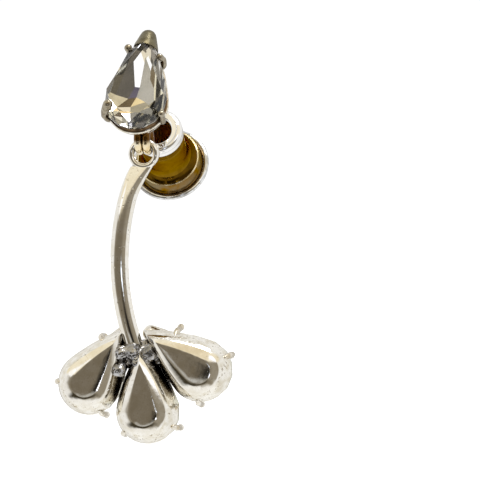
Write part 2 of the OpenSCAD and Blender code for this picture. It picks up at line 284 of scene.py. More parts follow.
def cup_shell(tip, lean=(0, 0)):
    """Closed-back cup: a domed plate with falling edges, walls, a bead round the rim and the groove.

    lean is the plate's slope across and upwards, because no two plates are set alike."""
    edge = section(tip, CUP_DEPTH, PLATE_INSET)
    rings, tones = [], []
    for share in PLATE_SHARES:
        y = CUP_DEPTH + PLATE_DOME * (1 - share ** 4)
        rings.append([(x * share, y, PLATE_MIDDLE + (z - PLATE_MIDDLE) * share) for x, _, z in edge])
        tones.append(PLATE_TONE)
    for y, inset in [*smooth_path(PLATE_EDGE, 4), *smooth_path(RIM_BEAD, 2)]:
        rings.append(section(tip, y, inset))
        tones.append(PLATE_TONE if y > PLATE_ENDS else WALL_TONE)
    for i, ring in enumerate(rings):
        rings[i] = [
            (x, y + max(0, y - LEAN_FROM) / (CUP_DEPTH - LEAN_FROM)
             * (lean[0] * x + lean[1] * (z - PLATE_MIDDLE)), z)
            for x, y, z in ring
        ]
    rings += [section(tip, y, inset) for y, inset in GROOVE + INSIDE]
    tones += [GROOVE_TONE] * len(GROOVE) + [WALL_TONE] * len(INSIDE)
    return skin(rings, tones=tones[1:])


# Hood over a stone's point, as (below its top, half width, half depth)
HOOD_OVER, HOOD_Y, HOOD_BEHIND, HOOD_SIDES = 0.2, 0.05, 1.15, 32
HOOD_RINGS = [
    (0.0, 0.06, 0.06), (0.05, 0.34, 0.34), (0.18, 0.56, 0.56), (0.4, 0.74, 0.76), (0.7, 0.86, 0.9),
    (1.1, 0.98, 1.1), (1.5, 1.1, 1.3), (1.9, 1.22, 1.52), (2.25, 1.26, 1.64),
]


def hood(tip):
    """Domed cap folded over the stone's point, a little deeper behind than in front."""
    rings = []
    for below, wide, deep in HOOD_RINGS:
        ring = []
        for q in circle(HOOD_SIDES):
            reach = deep if math.sin(q) < 0 else HOOD_BEHIND * deep
            ring.append((wide * math.cos(q), HOOD_Y + reach * math.sin(q), tip + HOOD_OVER - below))
        rings.append(ring)
    return skin(rings)


# Claws, as (out from the outline, depth, share of the wire's radius) from the wall to the girdle
CLAW_OUT = CLAW_R + STONE_GAP + 0.02
CLAW_BENDS = [
    (-0.2, 1.7, 0.9), (CLAW_OUT * 0.4, 1.1, 1.35), (CLAW_OUT * 0.8, 0.5, 1.35), (CLAW_OUT, -0.2, 1.3),
]
CLAW_END, CLAW_SWELL, CLAW_SIDES, SIDE_TURN = 1.4, (0.74, 0.84, 0.95, 1), 14, 22


def claw(foot, end, ball_r=BALL_R):
    """Prong from a foot on the outline, round the girdle, to a rounded end over the stone."""
    x, z, angle = foot
    bends = CLAW_BENDS + [(*end, CLAW_END)]
    curve = smooth_path([(out, y, 0, share * CLAW_R) for out, y, share in bends], 4)
    radii = [p[3] for p in curve]
    radii[-4:] = [ball_r * share for share in CLAW_SWELL]
    return moved(rod([p[:3] for p in curve], radii, CLAW_SIDES), shift(x, 0, z) @ turn("Y", -angle))


def round_foot(degrees):
    """Foot of a claw on the round end, as (x, z, angle)."""
    return *round_point(degrees), degrees


def side_foot(tip, side, z):
    """Foot of a claw on the long side to the right, 1, or to the left, -1."""
    return side * side_point(tip, z)[0], z, SIDE_TURN if side > 0 else 180 - SIDE_TURN


STUD_CLAWS = [
    (side_foot(STUD_TIP, -1, 5.4), (0.2, -0.78), BALL_R + 0.05),
    (side_foot(STUD_TIP, 1, 4.7), (0.05, -0.85)),
    (round_foot(-28), (0.35, -0.85)),
    (round_foot(-147), (-0.45, -1.7), BALL_R + 0.14),
]
PETAL_CLAWS = {
    "left": [
        (side_foot(PETAL_TIP, 1, 4.5), (0.15, -0.78)), (round_foot(-33), (0.25, -0.8)),
        (round_foot(-149), (0.4, -0.8)),
    ],
    "centre": [(round_foot(-37), (0.35, -0.8)), (round_foot(-148), (0.3, -0.8))],
    "right": [
        (side_foot(PETAL_TIP, -1, 4.2), (0.5, -0.78)), (round_foot(-32), (0.35, -0.8)),
        (round_foot(-152), (0.05, -0.8)),
    ],
}

# Crystals: where the edge has corners, the crown, and the shallow back
SIDE_CORNERS, ROUND_CORNERS = (5, 2.5), (10, -18, -42, -66)
STONE_MIDDLE, WIDE_TABLE, SHORT_TIP = 1.1, 0.8, 0.1
CROWN_BREAK_OUT, CROWN_BREAK_HEIGHT = 0.04, 0.62
BACK_EDGE, BACK_DEPTH, BACK_KEEL, LEFT_FALL, RIGHT_FALL = 0.92, 1.0, 0.3, 0.25, 0.17
BACK_TAPER, BACK_FOOT, FOOT_FALL = 0.12, 0.02, 0.4

# Corners of the back's facets as (x, z) on a stone of the stud's length
BACK_CORNERS = {
    "P": (0.15, 6.2), "L": (-0.9, 4.3), "M": (0.25, 4.8), "R": (1.1, 4.4), "B": (1.05, 3.3),
    "K": (1.15, 2.35), "D": (-0.28, 1.4), "E": (0.22, 1.42), "C": (0.05, 0.3), "F": (-0.75, 0.05),
    "W": (-1.6, 2.6), "V": (-2.1, 0.35), "S": (1.75, 1.3), "X": (1.35, 5.1), "N": (1.05, -0.15),
    "H": (-1.75, -1.05), "Z": (-0.35, -0.85), "J": (-0.2, -1.8), "U": (2.1, -0.95),
}
GLASS, BRIGHT, DARK, TAUPE, VIOLET, CREAM, BROWNISH, PALE = range(8)

# The back's facets and their foils, whose tones are painted reflections. A number is a corner of the stone's
# edge, from the point clockwise.
BACK_FACETS = [
    ("P L D E M", BRIGHT), ("P M B R", BRIGHT), ("M E K B", TAUPE), ("0 13 P", DARK), ("P 13 W", DARK),
    ("P W L", DARK), ("L W V F D", DARK), ("13 12 W", PALE), ("12 11 V W", TAUPE), ("D F C E", VIOLET),
    ("E C N S K", TAUPE), ("P R B K S X", BROWNISH), ("0 P X", BROWNISH), ("0 X 1", TAUPE), ("X S 2 1", PALE),
    ("S 3 2", PALE), ("S U 4 3", PALE), ("S N U", TAUPE), ("F H Z C", BROWNISH), ("C Z N", CREAM),
    ("V H F", PALE), ("V 11 10 H", PALE), ("H J Z", BRIGHT), ("H 10 9", PALE), ("H 9 8 J", TAUPE),
    ("Z J U N", TAUPE), ("J 7 6 U", BRIGHT), ("J 8 7", PALE), ("U 6 5 4", BRIGHT),
]


def girdle_points(tip):
    """Corners of a stone's edge from the point clockwise, as (x, z)."""
    half = [side_point(tip, z) for z in SIDE_CORNERS] + [round_point(q) for q in ROUND_CORNERS]
    return [(0, tip)] + half + [(0, -CUP_R)] + [(-x, z) for x, z in half[::-1]]


def drawn_in(corner, share, y):
    """A corner of the edge, drawn in towards the stone's middle. The point is drawn in a little more."""
    x, rise = corner[0], corner[1] - STONE_MIDDLE
    short = SHORT_TIP if rise > 0 and share < BACK_EDGE else 0
    return x * share, y, STONE_MIDDLE + rise * (share - short)


def back_point(x, z, tip):
    """Point of a stone's back, given on a stone of the stud's length.

    It falls from the keel to both sides, less so towards the foot, and a little to both ends."""
    rise = z - BACK_CORNERS["C"][1]
    fall = (LEFT_FALL if x < BACK_KEEL else RIGHT_FALL) * min(1, max(FOOT_FALL, z))
    y = BACK_DEPTH - fall * abs(x - BACK_KEEL) - (BACK_TAPER * rise if rise > 0 else -BACK_FOOT * rise)
    long = STONE_MIDDLE + (z - STONE_MIDDLE) * (tip - STONE_MIDDLE) / (STUD_TIP - STONE_MIDDLE)
    return x, max(y, 2 * GIRDLE_HALF), long if z > STONE_MIDDLE else z


def crystal(tip):
    """Faceted pear: a glass crown in front, and a back whose facets have the foils' tones, painted light and
    dark as reflections.
    """
    edge = girdle_points(tip)
    n, m = len(edge), len(edge) // 2
    break_out = (1 + WIDE_TABLE) / 2 + CROWN_BREAK_OUT
    points = [drawn_in(edge[2 * i], WIDE_TABLE, CROWN_Y) for i in range(m)]
    points += [drawn_in(edge[2 * i + 1], break_out, CROWN_Y * CROWN_BREAK_HEIGHT) for i in range(m)]
    points += [(x, -GIRDLE_HALF, z) for x, z in edge] + [(x, GIRDLE_HALF, z) for x, z in edge]
    upper, lower = 2 * m, 2 * m + n
    faces = [list(range(m))[::-1]]
    faces += [[i, (i + 1) % m, m + i] for i in range(m)]
    for i in range(m):
        before, after = m + (i - 1) % m, upper + (2 * i + 2) % n
        here, beside = upper + 2 * i, upper + 2 * i + 1
        faces += [[i, m + i, here], [i, here, before], [m + i, beside, here], [m + i, after, beside]]
    faces += [[upper + i, upper + (i + 1) % n, lower + (i + 1) % n, lower + i] for i in range(n)]
    picks = [GLASS] * len(faces)

    corners = {}
    for i, corner in enumerate(girdle_points(STUD_TIP)):
        x, _, z = drawn_in(corner, BACK_EDGE, 0)
        corners[str(i)] = (x, z)
    at = {}
    for name, (x, z) in {**corners, **BACK_CORNERS}.items():
        at[name] = len(points)
        points.append(back_point(x, z, tip))
    for i in range(n):
        j = (i + 1) % n
        faces.append([lower + i, lower + j, at[str(j)], at[str(i)]])
        picks.append(PALE)
    for names, tone in BACK_FACETS:
        faces.append([at[name] for name in names.split()][::-1])
        picks.append(tone)
    return points, faces, picks


# Node trees
MIX_SHARE, MIX_LOW, MIX_HIGH, MIX_RESULT = 0, 6, 7, 2
NOISE_ROUGHNESS = 0.55


class Nodes:
    """Short calls for the node tree of a new material or world."""

    def __init__(self, owner):
        owner.use_nodes = True
        self.tree = owner.node_tree
        self.tree.nodes.clear()

    def add(self, kind, inputs=(), **settings):
        node = self.tree.nodes.new(kind)
        for key, value in settings.items():
            setattr(node, key, value)
        for key, value in dict(inputs).items():
            if hasattr(value, "is_output"):
                self.tree.links.new(value, node.inputs[key])
            else:
                node.inputs[key].default_value = value
        return node

    def show(self, shader, kind="ShaderNodeOutputMaterial"):
        self.tree.links.new(shader.outputs[0], self.add(kind).inputs[0])

    def place(self):
        return self.add("ShaderNodeTexCoord").outputs["Object"]

    def math(self, operation, a, b=0.0):
        return self.add("ShaderNodeMath", {0: a, 1: b}, operation=operation).outputs[0]

    def noise(self, rate, detail):
        """Noise with rate repeats to the millimetre."""
        return self.add("ShaderNodeTexNoise", {
            "Vector": self.place(), "Scale": rate / MM, "Detail": detail, "Roughness": NOISE_ROUGHNESS,
        }).outputs["Fac"]

    def ramp(self, share, edges, low, high):
        node = self.add("ShaderNodeValToRGB", {"Fac": share})
        for mark, at, colour in zip(node.color_ramp.elements, edges, (low, high)):
            mark.position = at
            mark.color = (*colour, 1)
        return node.outputs["Color"]

    def blend(self, share, low, high):
        """Mix of two colours, each a constant or a socket, by a share from a socket."""
        node = self.add("ShaderNodeMix", {MIX_SHARE: share}, data_type="RGBA")
        for socket, value in ((MIX_LOW, low), (MIX_HIGH, high)):
            if hasattr(value, "is_output"):
                self.tree.links.new(value, node.inputs[socket])
            else:
                node.inputs[socket].default_value = (*value, 1)
        return node.outputs[MIX_RESULT]

    def range(self, value, edges, low=0, high=1):
        """Soft step from low to high as a value passes between two edges."""
        return self.add("ShaderNodeMapRange", {
            "Value": value, "From Min": edges[0], "From Max": edges[1], "To Min": low, "To Max": high,
        }, interpolation_type="SMOOTHSTEP").outputs[0]


# Effects on the plating: rates are repeats to the millimetre, and each edge is where a soft step runs
# The second colour here is dirt together with painted shade for crevices.
# The third colour here is the brown of a painted shadow.
BROWN, DIRT_AND_SHADE, SHADOW_BROWN = (0.2, 0.13, 0.05), (0.07, 0.05, 0.03), (0.13, 0.06, 0.012)
CLOUD_EDGES, POLISH_RATE, POLISH_EDGES = (0.35, 0.6), 2.3, (0.35, 0.7)
SPECK_RATE, SPECK_EDGES, FIELD_RATE, FIELD_EDGES = 4.5, (0.57, 0.68), 0.9, (0.42, 0.6)
GRIME_SHADE_RATE, GRIME_SHADE_BREAK, GRIME_SHADE_EDGES = 2.2, 0.25, (0.1, 0.55)
GRIME_SHADE_SAMPLES, PIT_RATE, PIT_EDGES, GRAIN_RATE = 8, 1.6, (0.03, 0.16), 5


def speckled(t, colour, most):
    """Brown specks, gathered in loose fields."""
    specks = t.range(t.noise(SPECK_RATE, 3), SPECK_EDGES)
    fields = t.range(t.noise(FIELD_RATE, 2), FIELD_EDGES, 0, most)
    return t.blend(t.math("MULTIPLY", specks, fields), colour, BROWN)


def grimed_and_shaded(t, colour, most, reach):
    """Dark dirt and painted shade where other surfaces are near: ambient occlusion darkens the colour in
    crevices and between parts.
    """
    nearby = t.add("ShaderNodeAmbientOcclusion", {"Distance": reach * MM}, samples=GRIME_SHADE_SAMPLES)
    open_sky = nearby.outputs["AO"]
    broken = t.math("SUBTRACT", open_sky, t.math("MULTIPLY", t.noise(GRIME_SHADE_RATE, 3), GRIME_SHADE_BREAK))
    return t.blend(t.range(broken, GRIME_SHADE_EDGES, most, 0), colour, DIRT_AND_SHADE)


def shadowed_above(t, colour, low, high):
    """Painted shadow: dark brown above a height, coming in between two heights in millimetres."""
    height = t.add("ShaderNodeSeparateXYZ", {0: t.place()}).outputs["Z"]
    return t.blend(t.range(height, (low * MM, high * MM)), colour, SHADOW_BROWN)


def pitted(t, height, depth):
    cells = t.add("ShaderNodeTexVoronoi", {"Vector": t.place(), "Scale": PIT_RATE / MM}).outputs["Distance"]
    return t.math("SUBTRACT", height, t.math("MULTIPLY", t.range(cells, PIT_EDGES, 1, 0), depth))


def metal(name, base, worn, rough, rate=0.9, dents=0.0, dent_rate=2.5, pits=0.0, grain=0.0,
          specks=0.0, grime_and_shade=0.0, reach=0.5, slant=(1, 1, 1), shadow_heights=()):
    """Polished plated metal with clouds of worn colour and uneven polish.

    rough is its least and most roughness. rate and dent_rate are repeats to the millimetre. dents, pits and
    grain are depths in millimetres, and reach is how near a surface makes dirt and painted shade. specks and
    the dirt with painted shade are their most, from 0 to 1. slant tints what it mirrors at a slant, and the
    last argument is two heights, between which a painted shadow comes in."""
    material = bpy.data.materials.new(name)
    t = Nodes(material)
    colour = t.ramp(t.noise(rate, 4), CLOUD_EDGES, worn, base)
    roughness = t.range(t.noise(rate * POLISH_RATE, 5), POLISH_EDGES, *rough)
    height = t.math("MULTIPLY", t.noise(dent_rate, 2), dents)
    if grain:
        height = t.math("ADD", height, t.math("MULTIPLY", t.noise(dent_rate * GRAIN_RATE, 3), grain))
    if specks:
        colour = speckled(t, colour, specks)
    # Dirt and painted shade darken crevices, then a painted shadow darkens above a height.
    if grime_and_shade:
        colour = grimed_and_shaded(t, colour, grime_and_shade, reach)
    if shadow_heights:
        colour = shadowed_above(t, colour, *shadow_heights)
    if pits:
        height = pitted(t, height, pits)
    bump = t.add("ShaderNodeBump", {"Height": height, "Strength": 1.0, "Distance": MM})
    t.show(t.add("ShaderNodeBsdfPrincipled", {
        "Base Color": colour, "Metallic": 1.0, "Roughness": roughness, "Specular Tint": (*slant, 1),
        "Normal": bump.outputs[0],
    }))
    return material


GLASS_IOR, GLASS_EDGES, GLASS_ROUGH = 1.57, (0.3, 0.7), (0.0, 0.012)
GLASS_TINT, GLASS_WARM = (0.97, 0.96, 0.95), (1, 0.99, 0.96)


def crystal_glass():
    """Clear glass with a hint of warm tint and of wear in its polish."""
    material = bpy.data.materials.new("crystal")
    t = Nodes(material)
    t.show(t.add("ShaderNodeBsdfPrincipled", {
        "Base Color": t.ramp(t.noise(0.6, 2), GLASS_EDGES, GLASS_TINT, GLASS_WARM),
        "Roughness": t.range(t.noise(1.2, 3), GLASS_EDGES, *GLASS_ROUGH),
        "IOR": GLASS_IOR, "Transmission Weight": 1.0,
    }))
    return material


# Materials
silver = metal(
    "silver_plate", (0.94, 0.92, 0.88), (0.86, 0.82, 0.74), (0.02, 0.08), dents=0.008, dent_rate=0.7,
    pits=0.01, specks=0.5, grime_and_shade=0.6,
)
plate_metal = metal(
    "silver_cup", (0.94, 0.92, 0.88), (0.82, 0.78, 0.7), (0.05, 0.14), dents=0.017, dent_rate=0.7,
    grain=0.0016, specks=0.3, grime_and_shade=0.95, reach=1.0,
)
wall_metal = metal(
    "silver_wall", (0.94, 0.92, 0.87), (0.76, 0.71, 0.6), (0.06, 0.2), rate=1.2, dents=0.045, dent_rate=0.9,
    grain=0.007, specks=1.0, grime_and_shade=0.95, reach=1.0,
)
# Dark brown for the groove under each stone: patina, deepened as painted shade in the gap between stone and
# rim.
groove_patina_and_shade = metal("groove_patina_and_shade", (0.2, 0.13, 0.07), (0.06, 0.04, 0.025), (0.3, 0.5), dents=0.01)
claw_metal = metal(
    "silver_claw", (0.93, 0.9, 0.84), (0.6, 0.52, 0.38), (0.08, 0.22), dents=0.05, dent_rate=1.8, specks=0.9,
)
worn_metal = metal(
    "worn_plate", (0.42, 0.38, 0.3), (0.24, 0.2, 0.14), (0.16, 0.34), rate=1.4, dents=0.03, dent_rate=1.2,
    specks=0.5,
)
hood_metal = metal(
    "worn_hood", (0.2, 0.175, 0.11), (0.12, 0.1, 0.055), (0.24, 0.42), rate=1.1, dents=0.03, dent_rate=1.2,
    specks=0.6,
)
# A painted shadow of the cup above darkens the top of the loop.
loop_metal = metal(
    "worn_loop_shadowed", (0.97, 0.9, 0.72), (0.85, 0.68, 0.4), (0.04, 0.14), rate=0.8, dents=0.03, dent_rate=1.4,
    grime_and_shade=0.95, reach=0.7, shadow_heights=(-3.1, -2.5),
)
solder_metal = metal(
    "solder", (0.55, 0.55, 0.57), (0.13, 0.125, 0.12), (0.05, 0.2), dents=0.07, dent_rate=1.1,
    grain=0.009, specks=0.6, grime_and_shade=0.9, reach=0.8,
)
chrome = metal("chrome", (0.95, 0.95, 0.95), (0.88, 0.88, 0.88), (0.02, 0.05), dents=0.002, dent_rate=0.6)
brass = metal(
    "brass", (0.235, 0.13, 0.008), (0.17, 0.09, 0.005), (0.08, 0.2), dents=0.012, grain=0.0008, grime_and_shade=0.9,
    reach=1.6, slant=(0.5, 0.38, 0.1),
)
# Darker copy of the brass for the flare inside the ridge: painted shade in the cove there.
flare_brass_shaded = metal(
    "brass_flare_shaded", (0.13, 0.065, 0.004), (0.07, 0.035, 0.003), (0.08, 0.2), dents=0.012, grime_and_shade=0.9, reach=1.2,
    slant=(0.4, 0.28, 0.06),
)
band_metal = metal(
    "brass_band", (0.22, 0.11, 0.008), (0.24, 0.21, 0.15), (0.08, 0.2), rate=0.45, dents=0.03, dent_rate=0.5,
    grime_and_shade=0.7, reach=0.6, slant=(0.6, 0.5, 0.3),
)
# Pale crest of the ridge: partly wear to a paler metal, partly a painted highlight along the crest.
ridge_metal = metal("ridge", (0.9, 0.85, 0.68), (0.7, 0.6, 0.4), (0.08, 0.2), dents=0.004)
inner_brass = metal("brass_inside", (0.8, 0.45, 0.06), (0.5, 0.26, 0.03), (0.35, 0.55), dents=0.02)
rim_metal = metal(
    "rolled_rim", (0.9, 0.92, 0.95), (0.2, 0.18, 0.16), (0.05, 0.14), rate=0.45, dents=0.01, dent_rate=0.5,
    specks=0.5,
)

# Foils behind the crystals, in the order of their tones. The bright, dark and tinted tones are painted
# reflections, standing in for the light and dark shapes that the crystals show.
FOIL_PAINTED_TONES = [
    ("foil_painted_bright", (1, 1, 1), (0.96, 0.97, 1)),
    ("foil_painted_dark", (0.15, 0.145, 0.155), (0.1, 0.1, 0.11)),
    ("foil_painted_taupe", (0.42, 0.4, 0.35), (0.34, 0.33, 0.29)),
    ("foil_painted_violet", (0.17, 0.16, 0.3), (0.1, 0.095, 0.2)),
    ("foil_painted_cream", (0.95, 0.82, 0.55), (0.8, 0.62, 0.36)),
    ("foil_painted_brown", (0.17, 0.13, 0.075), (0.11, 0.08, 0.04)),
    ("foil_painted_pale", (0.85, 0.85, 0.78), (0.62, 0.6, 0.52)),
]
foils = [metal(name, base, dim, (0.02, 0.08), rate=0.5) for name, base, dim in FOIL_PAINTED_TONES]
crystal_look = [crystal_glass(), *foils]
cup_look = [plate_metal, groove_patina_and_shade, wall_metal]

# Stud: cup, hood, claws, crystal, post and loop
piece("stud_cup", "stud_setting", [cup_shell(STUD_TIP)], ON_STUD, cup_look)
piece("stud_hood", "stud_setting", [hood(STUD_TIP)], ON_STUD, [hood_metal])
for k, values in enumerate(STUD_CLAWS):
    piece(f"stud_claw_{k}", "stud_setting", [claw(*values)], ON_STUD, [worn_metal])
piece("stud_crystal", "stud_stone", [crystal(STUD_TIP)], ON_STUD, crystal_look, hard=FACETED)

POST_POINTS, POST_SIDES, POST_SUNK, FOOT_STEPS, FOOT_SUNK = 12, 24, 0.2, 32, 0.1
FOOT_PROFILE = [(0.02, 0), (0.95, 0), (0.9, 0.12), (0.55, 0.3), (POST_R, 0.5), (0.02, 0.5)]
post_path = [(0, y, 0) for y in np.linspace(CUP_DEPTH - POST_SUNK, POST_END, POST_POINTS)]
post = rod(post_path, [POST_R] * POST_POINTS, POST_SIDES)
on_plate = shift(0, CUP_DEPTH - FOOT_SUNK, 0) @ turn("X", -90)
foot = moved(lathe(FOOT_PROFILE, FOOT_STEPS, closed=False), on_plate)
piece("ear_post", "stud_setting", [post, foot], ON_POST, [silver])

LOOP_STEPS, LOOP_SIDES = 48, 18
LUMP_MIDDLE, LUMP_RADII, LUMP_STEPS = (0, -1.35, 0.6), (0.62, 0.6, 0.55), 20


def loop_wire(side):
    """One of the two wire rings that the eye hangs on, on the left, -1, or the right, 1."""
    rings = []
    for q in circle(LOOP_STEPS):
        middle = Vector((side * LOOP_WIRE_R, LOOP_R * math.cos(q), LOOP_R * math.sin(q)))
        out = Vector((0, LOOP_R * math.cos(q), LOOP_R * math.sin(q))).normalized()
        rings.append([
            middle + out * (LOOP_WIRE_R * math.cos(a)) + Vector((1, 0, 0)) * (LOOP_WIRE_R * math.sin(a))
            for a in circle(LOOP_SIDES)
        ])
    return skin(rings, closed=True)


loop_parts = [loop_wire(-1), loop_wire(1), ball(LUMP_MIDDLE, LUMP_RADII, LUMP_STEPS)]
piece("hanger_loop", "stud_setting", loop_parts, ON_HANGER, [loop_metal])

# Clutch: collar, dish and shell, as (radius, height) profiles from the mouth
CLUTCH_STEPS, BEAD_R, BACK_ROUND, MOUTH_ROUND, MOUTH_ROUND_Y = 128, 0.5, 0.25, 0.3, 0.35
outside = arc(COLLAR_R - BEAD_R, BEAD_R, BEAD_R, -90, 20, 12) + [(COLLAR_R - 0.02, 1.05)]
outside += arc(COLLAR_R - BACK_ROUND, COLLAR_LENGTH - BACK_ROUND, BACK_ROUND, 20, 90, 6)
mouth = [(MOUTH_R, COLLAR_LENGTH), (MOUTH_R, 0.75), (MOUTH_R, 0.4)]
mouth += arc(MOUTH_R + MOUTH_ROUND, MOUTH_ROUND_Y, MOUTH_ROUND, 180, 260, 6)
collar_tones = [0] * len(outside) + [1] + [0] * (len(mouth) - 1)
collar = lathe(outside + mouth, CLUTCH_STEPS, tones=collar_tones)
piece("collar", "clutch_collar", [collar], ON_CLUTCH, [chrome, inner_brass])

NECK_R, NECK_FRONT, NECK_RINGS, NECK_RING_STEP, NECK_RING_R, RIDGE_BEAD_R = 2.36, 1.9, 3, 0.28, 0.1, 0.08
BRASS_TONE, RIDGE_TONE, BAND_TONE, BORE_TONE, FLARE_TONE = range(5)
dish_front = COLLAR_LENGTH + PART_GAP
bore = [(GRIP_R, 4.7), (MOUTH_R + 0.1, 3.5), (MOUTH_R + 0.1, dish_front)]
neck = [(NECK_R - 0.1, dish_front), (NECK_R, 1.72)]
for k in range(NECK_RINGS):
    neck += arc(NECK_R + 0.01, NECK_FRONT + NECK_RING_STEP * k, NECK_RING_R, 250, 110, 6)
neck += [
    (NECK_R, 2.7), (NECK_R, 3.6), (NECK_R, RIDGE_Y - 1.6), (NECK_R + 0.04, RIDGE_Y - 1.2),
    (NECK_R + 0.12, RIDGE_Y - 0.9), (NECK_R + 0.22, RIDGE_Y - 0.62),
]
flare_end, *ridge = arc(RIDGE_R + 0.05, RIDGE_Y, RIDGE_BEAD_R, 215, 0, 9)
flare = [(NECK_R + 0.38, RIDGE_Y - 0.4), (NECK_R + 0.58, RIDGE_Y - 0.17), flare_end]
band = [
    (RIDGE_R + 0.15, RIDGE_Y + 0.1), (RIDGE_R + 0.18, RIDGE_Y + 0.2), (RIDGE_R + 0.26, RIDGE_Y + 0.75),
    (DISC_R - 0.62, DISC_Y - 0.4), (DISC_R - 0.56, DISH_BACK_Y), (GRIP_R, DISH_BACK_Y),
]
dish, dish_tones = [], []
for stretch, tone in (
    (bore, BORE_TONE), (neck, BRASS_TONE), (flare, FLARE_TONE), (ridge, RIDGE_TONE), (band, BAND_TONE),
):
    dish += stretch
    dish_tones += [tone] * len(stretch)
dish_part = lathe(dish[::-1], CLUTCH_STEPS, tones=dish_tones[::-1])
dish_look = [brass, ridge_metal, band_metal, inner_brass, flare_brass_shaded]
piece("dish", "clutch_dish", [dish_part], ON_CLUTCH, dish_look, hard=TURNED)

ROLL_R, BORE_GAP = 0.3, 0.15
shell_front = DISH_BACK_Y + PART_GAP
shell = [(GRIP_R + BORE_GAP, shell_front), (DISC_R - 2 * ROLL_R + 0.02, shell_front)]
shell += arc(DISC_R - ROLL_R, DISC_Y, ROLL_R, 200, 352, 14)
shell += [
    (DISC_R - 0.05, DISC_Y + 0.15), (3.75, DISC_Y + 0.4), (3.2, DISC_Y + 0.6), (2.5, DISC_Y + 0.75),
    (1.8, DISC_Y + 0.85), (GRIP_R + BORE_GAP, DISC_Y + 0.9),
]
piece("shell", "clutch_shell", [lathe(shell, CLUTCH_STEPS)], ON_CLUTCH, [rim_metal], hard=TURNED)

# Drop: bar, eye, cups, hoods, claws, crystals and solder
BAR_STEPS, BAR_SIDES = 90, 40
SHOULDER_LENGTH, SHOULDER_WIDTH, SHOULDER_SHIFT, SHOULDER_THIN, SHOULDER_FLAT = 3.4, 0.2, 0.4, 0.3, 0.55
LEVEL_TOP = 0.09


def bar_ring(share):
    """Outline of the bar across its length, at a share of the way from the eye to the petals."""
    down = BAR_TOP + share * (BAR_END - BAR_TOP)
    lean = math.asin((down - BAR_MIDDLE) / BEND_R)
    shoulder = max(0.0, 1 - (down - BAR_TOP) / SHOULDER_LENGTH) ** 2
    x = BEND_R - BAR_BOW - BEND_R * math.cos(lean) + SHOULDER_SHIFT * shoulder
    y = -BAR_FORWARD * 4 * share * (1 - share)
    half_width = BAR_W / 2 + SHOULDER_WIDTH * shoulder
    half_depth = BAR_T / 2 * (1 - SHOULDER_THIN * shoulder)
    tilt = lean * min(1, share / LEVEL_TOP)
    ring = []
    for q in -circle(BAR_SIDES):
        across = half_width * math.cos(q)
        bulge = math.copysign(abs(math.sin(q)) ** (1 - SHOULDER_FLAT * shoulder), math.sin(q))
        ring.append((x + across * math.cos(tilt), y + half_depth * bulge, -down + across * math.sin(tilt)))
    return ring


bar = skin([bar_ring(i / BAR_STEPS) for i in range(BAR_STEPS + 1)])
piece("bar", "drop_bar", [bar], ON_LOOP, [silver])

EYE_STEPS = 64
wire_r = (EYE_OUTER_R - EYE_INNER_R) / 2
eye = arc(EYE_INNER_R + wire_r, EYE_DEPTH / 2 - wire_r, wire_r, 0, 180, 9)
eye += arc(EYE_INNER_R + wire_r, wire_r - EYE_DEPTH / 2, wire_r, 180, 360, 9)
piece("eye", "drop_bar", [moved(lathe(eye, EYE_STEPS), turn("X", 90))], ON_LOOP, [silver])

for name in PETALS:
    place = on_petal(name)
    piece(f"cup_{name}", "drop_bar", [cup_shell(PETAL_TIP, PLATE_LEANS[name])], place, cup_look)
    held = [hood(PETAL_TIP)] + [claw(*values) for values in PETAL_CLAWS[name]]
    piece(f"claws_{name}", "drop_bar", held, place, [claw_metal])
    piece(f"crystal_{name}", f"petal_stone_{name}", [crystal(PETAL_TIP)], place, crystal_look, hard=FACETED)

# Solder lumps as (x, y, down, radius), how they melt together, and the waves in their surface
SOLDER = [
    (-0.9, -0.35, 20.1, 0.95), (-2.2, -0.35, 20.3, 0.85), (-2.3, -0.5, 22, 0.78), (0.8, -0.3, 20.3, 0.95),
    (-0.3, -0.4, 21.2, 0.85), (-1.5, 0.4, 21.2, 0.7), (1.6, 0.5, 20.9, 0.6), (-2.9, 0.5, 21.0, 0.5),
    (0.2, 0.3, 19.5, 0.6), (-1.7, 0.2, 19.6, 0.55),
]
SOLDER_STEPS, MELT_VOXEL, FLOW_ROUNDS, FLOW_SHARE, WAVES = 24, 0.09, 6, 0.5, ((1.7, 0.16), (4.1, 0.06))


def melted(lumps):
    """Rough solder: the lumps joined in a voxel mesh, smoothed, with waves in its surface."""
    points, faces = [], []
    for x, y, down, r in lumps:
        at = len(points)
        lump_points, lump_faces, _ = ball((x, y, -down), (r, r, r), SOLDER_STEPS)
        points += lump_points
        faces += [[at + i for i in face] for face in lump_faces]
    mesh = bpy.data.meshes.new("solder_lumps")
    mesh.from_pydata(points, [], faces)
    ob = bpy.data.objects.new("solder_lumps", mesh)
    bpy.context.scene.collection.objects.link(ob)
    melt = ob.modifiers.new("melt", "REMESH")
    melt.mode, melt.voxel_size = "VOXEL", MELT_VOXEL
    flow = ob.modifiers.new("flow", "SMOOTH")
    flow.iterations, flow.factor = FLOW_ROUNDS, FLOW_SHARE
    done = bpy.data.meshes.new_from_object(ob.evaluated_get(bpy.context.evaluated_depsgraph_get()))
    bpy.data.objects.remove(ob)
    wavy = [
        tuple(v.co + v.normal * sum(noise.noise(v.co * rate) * height for rate, height in WAVES))
        for v in done.vertices
    ]
    return wavy, [list(p.vertices) for p in done.polygons], [0] * len(done.polygons)


piece("solder", "drop_bar", [melted(SOLDER)], ON_LOOP, [solder_metal], hard=ROUNDED)

